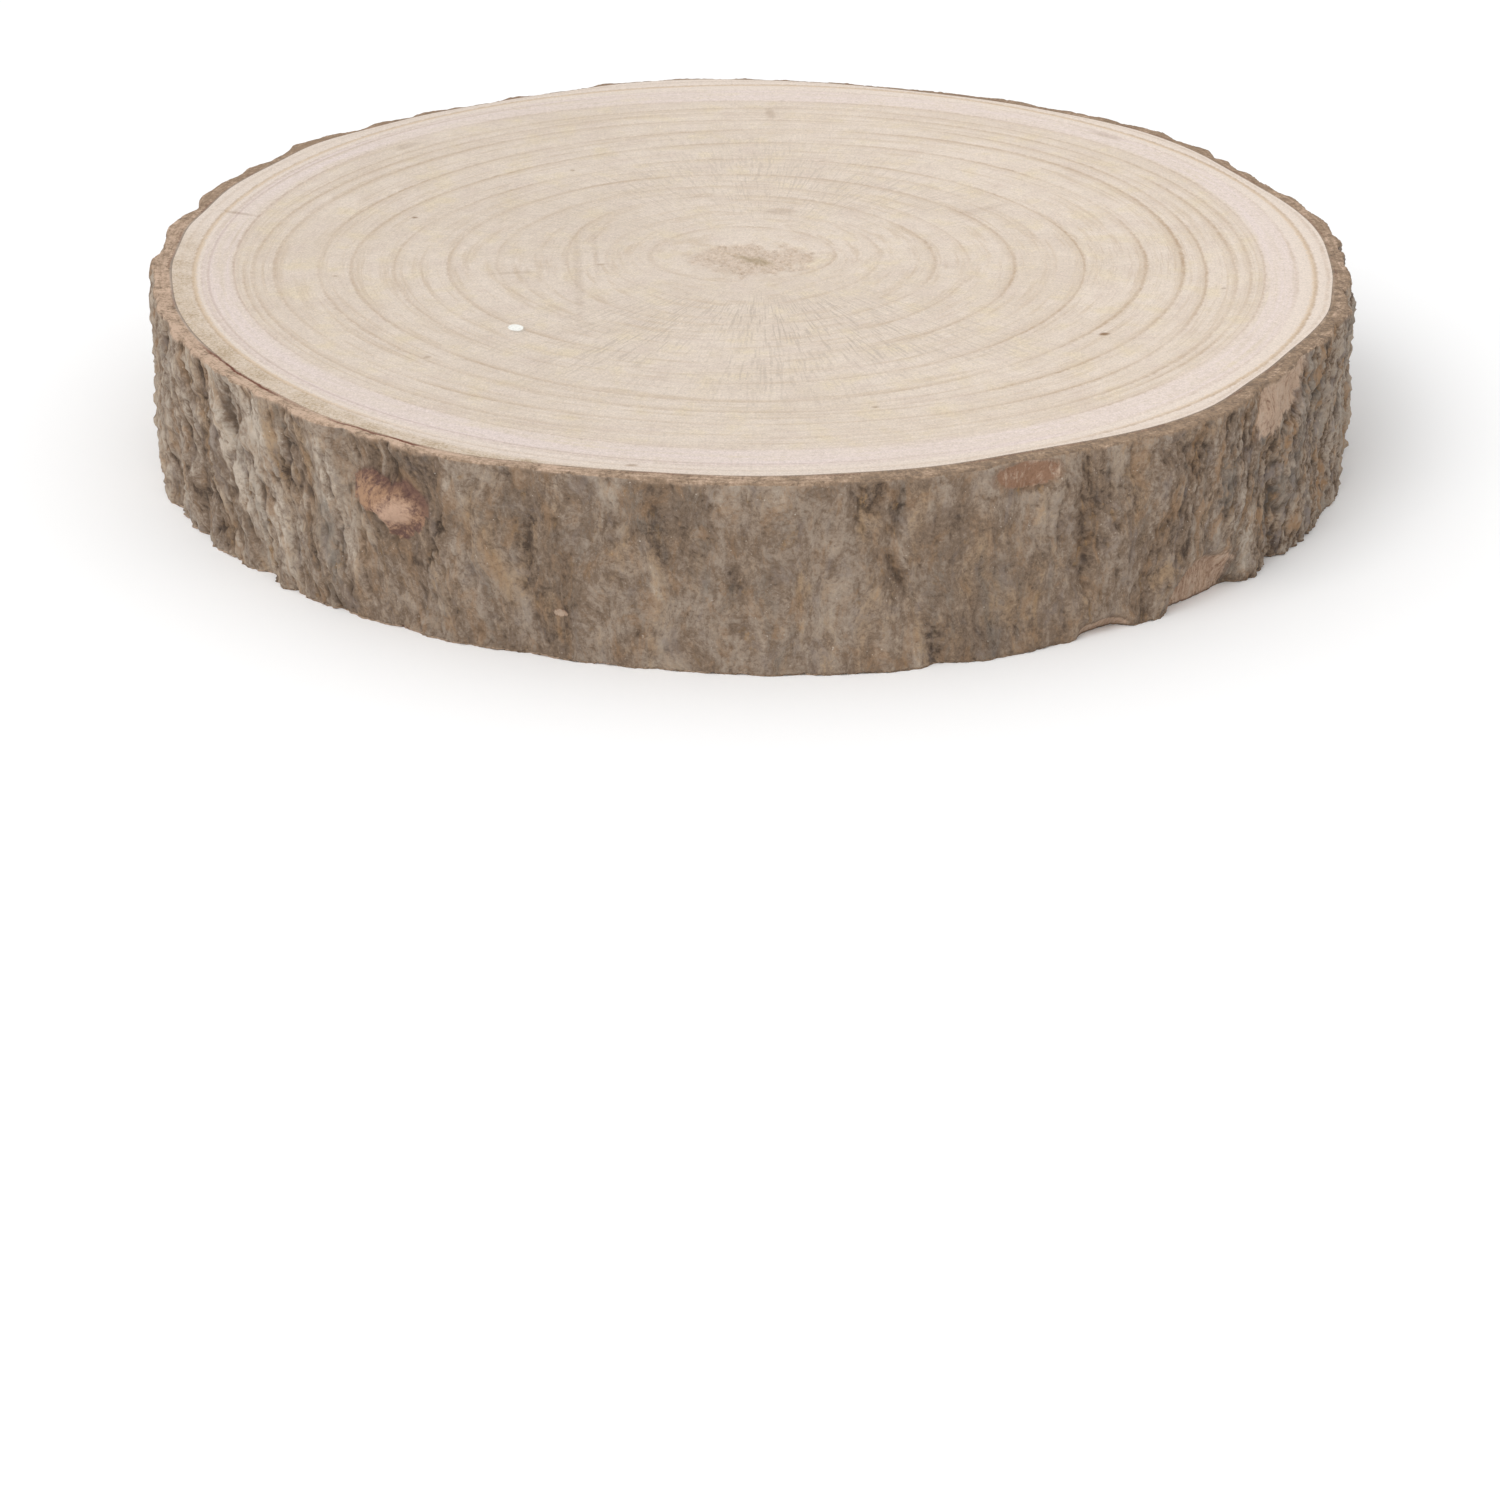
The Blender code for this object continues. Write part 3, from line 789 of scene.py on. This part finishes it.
edge_crumbs = np.clip(crumble[0] + flaking[0], -1, 1.5)
top_radius, top_height = band(BAND_ROWS, bark_wall[0], THICKNESS, BARK_SINKS, edge_crumbs)
foot_radius, foot_height = band(UNDER_BAND_ROWS, bark_wall[-1], 0, -BARK_SINKS, edge_crumbs)
edge_drop = np.zeros(wall.shape)
edge_drop[0] = 0.2 * MM * np.clip(0.3 + edge_crumbs, 0, 1.5)
foot_crumbs = np.clip(crumble[-1] + 1.4 * flaking[-1] - 0.15, 0, 1)
edge_drop[-1] = -0.6 * MM * foot_crumbs
wall_height = wall_heights[:, None] - edge_drop
bark_radii = np.concatenate([top_radius, bark_wall, foot_radius[::-1]])
bark_heights = np.concatenate([top_height, wall_height, foot_height[::-1]])
bark_points = np.stack([
    np.clip(pith[0] + bark_radii * np.cos(turns), cad_low.x, cad_high.x),
    np.clip(pith[1] + bark_radii * np.sin(turns), cad_low.y, cad_high.y),
    np.clip(bark_heights, cad_low.z, cad_high.z)], -1)
bark = loft("bark", bark_points)


def whole_ring(values):
    """Numbers or places on the wall, carried over both sawn bands from its edges."""
    return np.concatenate([np.repeat(values[:1], BAND_ROWS, 0), values,
                           np.repeat(values[-1:], UNDER_BAND_ROWS, 0)])


# The saw cut both bands, and the wall's first and last rows with them.
sawn_wall = np.zeros(wall.shape)
sawn_wall[[0, -1]] = 1
on_the_wall = dict(
    groove=groove, deep=deep, bare=bare, pale=pale, stub=stub, stub_lip=stub_lip,
    stub_heart=stub_heart, stub_left=stub_left, paleness=round_the_stem(PALENESS, around),
    sawn=sawn_wall, below_lip=below_rim - round_the_stem(LIP, around), rough=rough,
    weathering=weathering, fineness=fineness, **tints)
note_at_points(bark, band_mm=(bark_radii - wood_edge) / MM,
               **{name: whole_ring(values) for name, values in on_the_wall.items()})
grown_places = bark.data.attributes.new("grown", "FLOAT_VECTOR", "POINT")
grown_places.data.foreach_set(
    "vector", whole_ring(on_bark(1, 1, sway)).astype(np.float32).ravel())

# The map for the finish: the ring cut into four lengths, laid one above the other.
LENGTHS = 4
MAP_GAP = 0.006
ring_rows = bark_radii.shape[0]
row_gaps = np.hypot(np.diff(bark_radii.mean(1)), np.diff(bark_heights.mean(1)))
row_places = np.concatenate([[0], np.cumsum(row_gaps)])
row_places = np.append(row_places, row_places[-1] * 1.02)
row_places = row_places / row_places[-1]
face_row, face_column = np.divmod(np.arange(ring_rows * COLUMNS), COLUMNS)
length, column_in = np.divmod(face_column, COLUMNS // LENGTHS)
left = MAP_GAP + column_in / (COLUMNS // LENGTHS) * (1 - 2 * MAP_GAP)
right = MAP_GAP + (column_in + 1) / (COLUMNS // LENGTHS) * (1 - 2 * MAP_GAP)
high = (length + MAP_GAP + row_places[face_row] * (1 - 3 * MAP_GAP)) / LENGTHS
low = (length + MAP_GAP + row_places[face_row + 1] * (1 - 3 * MAP_GAP)) / LENGTHS
bark_map = bark.data.uv_layers.new(name="OFBake")
map_corners = np.stack([left, high, left, low, right, low, right, high], -1)
bark_map.data.foreach_set("uv", map_corners.astype(np.float32).ravel())
bark.data.shade_smooth()

BARK_DARK = shade(84, 70, 59)
BARK_BROWN = shade(121, 103, 87)
BARK_GREY = shade(144, 128, 113)
BARK_SILVER = shade(188, 175, 160)
BARK_TAN = shade(164, 137, 106)
BARK_OCHRE = shade(158, 126, 86)
BARK_SLATE = shade(118, 113, 106)
BARK_RUST = shade(155, 123, 92)
BARK_LAVENDER = shade(132, 122, 117)
BARK_PIT_AND_SHADE = shade(62, 51, 43)
BARK_FLECK = shade(210, 200, 188)
BARE_PINK = shade(186, 160, 139)
BARE_ORANGE = shade(134, 101, 80)
BARE_EDGE = shade(104, 74, 54)
STUB_PINK = shade(196, 163, 141)
STUB_OCHRE = shade(170, 134, 106)
STUB_DARK = shade(98, 72, 67)
BAND_TAN = shade(192, 166, 145)
BAND_BROWN = shade(143, 121, 100)
BAND_GREY = shade(150, 140, 130)
BAND_SPLIT = shade(112, 72, 57)

shader, place = new_finish(bark, "weathered_bark", roughness=0.88, specular=0.2)
grown = place.note("grown", out="Vector")
grain = grown.speckle(0.85, 5.0, 0.75, 0.4)
mottle = grown.stretched(1, 1, 0.7).speckle(3.2, 6.0, 0.7, 0.8)
streaks = grown.stretched(1, 1, 0.32).speckle(1.2, 5.0, 0.7, 0.5)
patches = grown.stretched(1, 1, 0.35).speckle(13, 4.0, 0.6, 0.5)
tan_patches = grown.stretched(1, 1, 0.25).speckle(6, 6.0, 0.7, 0.6)
slate_patches = grown.stretched(1, 1, 0.3).speckle(7, 6.0, 0.7, 0.6)
weathering = place.note("weathering")
rough = place.note("rough")
fineness = place.note("fineness")
groove = place.note("groove")
deep = place.note("deep")
dark = place.note("dark")
silver = place.note("silver")

# Its tone, from dark furrows through brown to silvery crests; the groove and deep terms darken the
# furrows partly as painted shade.
tone = 0.72 * grain + 0.75 * mottle + 0.95 * patches
tone = tone + rough * (0.4 * streaks + 0.09 * groove + 0.1 * deep)
tone = tone + fineness * (1.2 * streaks + 0.6 * grain + 0.17 * groove)
tone = tone + 0.05 * weathering + 0.16 * silver - 0.17 * dark
colour = tone.rise(-0.34, -0.06).between(BARK_DARK, BARK_BROWN)
colour = tone.rise(-0.08, 0.12).between(colour, BARK_GREY)
silvered = tone.rise(0.04, 0.36) * (0.5 + 0.35 * weathering + 0.4 * silver)
colour = silvered.between(colour, BARK_SILVER)
tan = tan_patches + 0.5 * grain + 0.3 * mottle + 0.2 * place.note("tan")
tan = tan.rise(0.0, 0.34) * (0.56 + tone + 0.9 * streaks)
colour = tan.between(colour, BARK_TAN)
slate = slate_patches + 0.4 * grain + 0.2 * place.note("slate") + 0.08 * fineness
slate = slate.rise(0.02, 0.32) * 0.6
colour = slate.between(colour, BARK_SLATE)
rust = grown.stretched(1, 1, 0.5).speckle(4.5, 5.0, 0.7, 0.5)
hued = 0.32 + 0.5 * fineness
colour = (rust.rise(0.0, 0.16) * hued).between(colour, BARK_RUST)
colour = (rust.rise(-0.03, -0.2) * hued).between(colour, BARK_LAVENDER)
ochre_specks = grown.stretched(1, 1, 0.5).speckle(2.2, 4.0, 0.7).rise(0.06, 0.22)
colour = (ochre_specks * (deep.rise(0.4, -0.4) + dark) * 0.4).between(colour, BARK_OCHRE)
pits = (grain - 0.1 * dark).rise(-0.12, -0.3) * (0.5 + 0.3 * rough)
colour = pits.between(colour, BARK_PIT_AND_SHADE)
# Painted shade: the darkest bark colour laid down the deepest grooves.
colour = (groove.rise(-0.2, -0.9) * deep.rise(0.1, -0.7) * 0.45).between(colour, BARK_PIT_AND_SHADE)
flecks = place.speckle(0.8, 2.0, 0.6).rise(0.21, 0.27)
colour = (flecks * 0.5).between(colour, BARK_FLECK)

# Inner bark, bare where a flake has gone, with a frayed edge that is dark in places.
bare = place.note("bare")
bare_tone = place.note("pale") + 2.2 * streaks + 1.0 * grain + 1.6 * mottle
bare_colour = bare_tone.rise(0.0, 0.9).between(BARE_ORANGE, BARE_PINK)
bare_colour = (mottle.rise(0.0, 0.2) * 0.4).between(bare_colour, BARK_SILVER)
bare_colour = (grain.rise(-0.02, -0.22) * 0.6).between(bare_colour, BARE_EDGE)
shown = (bare + 0.8 * grain + 0.5 * mottle).rise(0.3, 0.8)
colour = (shown * 0.85).between(colour, bare_colour)
frayed = (bare - 0.3 + 0.8 * grain).size().rise(0.3, 0.0) * (mottle + 0.6 * patches).rise(-0.1, 0.1)
colour = (frayed * 0.45).between(colour, BARE_EDGE)

# The stub: a smooth pink heart in mottled dark bark.
stub = place.note("stub")
knot = place.speckle(2.4, 6.0, 0.75, 0.6)
stub_tone = knot + 0.6 * grain + 0.25 * place.note("stub_left") + 0.15 * place.note("stub_heart")
stub_colour = stub_tone.rise(-0.1, 0.22).between(STUB_DARK, STUB_OCHRE)
heart = (place.note("stub_heart") + 0.9 * knot + 0.8 * grain).rise(0.3, 1.0)
stub_colour = heart.between(stub_colour, STUB_PINK)
colour = ((stub + 0.6 * grain).rise(0.2, 0.8) * 0.9).between(colour, stub_colour)
colour = (place.note("stub_lip") * (0.65 + 1.5 * knot)).between(colour, STUB_DARK)

# The saw leaves a tan lip, and on the cut shows the bark's own layers, parted here and there.
lip_mm = place.note("below_lip") + 2 * mottle + 1.5 * grain + 4 * patches
direction = place.flat().direction()
band_mm = place.note("band_mm")
layers = direction.stretched(14, 14, 0).moved(band_mm.raised(1.3)).speckle(1.0, 4.0, 0.65)
crumbs = place.speckle(0.8, 4.0, 0.75)
crumb_patches = place.speckle(3.5, 4.0, 0.7)
band_tone = place.note("paleness") + 1.6 * layers + 1.6 * crumbs + 1.6 * crumb_patches
band_colour = band_tone.rise(0.0, 0.9).between(BAND_BROWN, BAND_TAN)
browned = crumb_patches + crumbs - 0.14 * direction.towards(-45).rise(0.5, 0.95)
band_colour = browned.rise(-0.05, -0.3).between(band_colour, BARK_BROWN)
colour = (lip_mm.rise(0.6, -0.6) * 0.8).between(colour, band_colour)
sawn = place.note("sawn").rise(0.4, 0.6)
wander = 2.0 * place.speckle(7, 3.0)
cambium = band_mm.rise(0.8, 0.2) * (0.25 + 0.5 * direction.towards(180).rise(0.75, 0.95))
band_colour = cambium.between(band_colour, BAND_GREY)
parted = direction.towards(-148).rise(0.988, 0.997) + direction.towards(-127).rise(0.993, 0.998)
thin = place.speckle(12, 4.0, 0.6).rise(0.0, 0.08) * 0.3
split = (band_mm - 0.6 + wander + 0.8 * crumbs).size().rise(0.5, 0.1) * (parted * 0.85 + thin)
band_colour = split.between(band_colour, BAND_SPLIT)
band_specks = crumbs.rise(-0.14, -0.26) * 0.5
band_colour = band_specks.between(band_colour, BAND_SPLIT)
colour = sawn.between(colour, band_colour)
# Painted light: the bark is made lighter towards the right.
painted_light_right = 0.1 * direction.towards(-20).rise(0, 1)
feed(shader, Base_Color=colour.lit(1.08 + painted_light_right + 0.3 * crumbs))
texture = streaks * 0.5 + mottle * 0.8 + grain * (1.5 + fineness)
feed(shader, Normal=texture.bumped(0.7, 0.5))

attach(bark, "root")
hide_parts("wood_slice")


# The studio
# A white table under one wide soft lamp to the left and a white room round it. The camera looks
# down on the slice as the photograph does, from far off with a long lens.
CAMERA_FROM_PITH = (-0.0023, -0.9729, 0.3919)
CAMERA_DOWN = 26.0
CAMERA_LENS = 108.0
CAMERA_SENSOR = 36.0
FLOOR_REACH = 6.0
TABLE_WHITE = 0.93
ROOM_LIGHT = 0.9
LAMP_POWER = 66.0
LAMP_SIZE = 2.6
LAMP_PLACE = (-1.7, -2.0, 3.1)

floor_mesh = bpy.data.meshes.new("floor")
floor_sides = ((-1, -1), (1, -1), (1, 1), (-1, 1))
floor_mesh.from_pydata(
    [(x * FLOOR_REACH, y * FLOOR_REACH, cad_low.z) for x, y in floor_sides], [], [(0, 1, 2, 3)])
floor = bpy.data.objects.new("floor", floor_mesh)
bpy.context.scene.collection.objects.link(floor)
shader, _ = new_finish(floor, "white_table", roughness=0.9, specular=0.1)
shader.inputs["Base Color"].default_value = (TABLE_WHITE, TABLE_WHITE, TABLE_WHITE, 1)
floor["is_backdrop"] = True

room = bpy.data.worlds.new("room")
room.use_nodes = True
room_light = room.node_tree.nodes["Background"].inputs
room_light["Color"].default_value = (1, 1, 1, 1)
room_light["Strength"].default_value = ROOM_LIGHT
bpy.context.scene.world = room

lamp_data = bpy.data.lights.new("lamp", "AREA")
lamp_data.energy = LAMP_POWER
lamp_data.size = LAMP_SIZE
lamp = bpy.data.objects.new("lamp", lamp_data)
lamp.location = LAMP_PLACE
lamp.rotation_euler = (-lamp.location).to_track_quat("-Z", "Y").to_euler()
bpy.context.scene.collection.objects.link(lamp)

camera_data = bpy.data.cameras.new("camera")
camera_data.lens = CAMERA_LENS
camera_data.sensor_width = CAMERA_SENSOR
camera = bpy.data.objects.new("camera", camera_data)
camera.location = Vector((pith[0], pith[1], 0)) + Vector(CAMERA_FROM_PITH)
camera.rotation_euler = (math.radians(90 - CAMERA_DOWN), 0, 0)
bpy.context.scene.collection.objects.link(camera)
bpy.context.scene.camera = camera
bpy.context.scene.view_settings.view_transform = "Standard"

low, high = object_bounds()
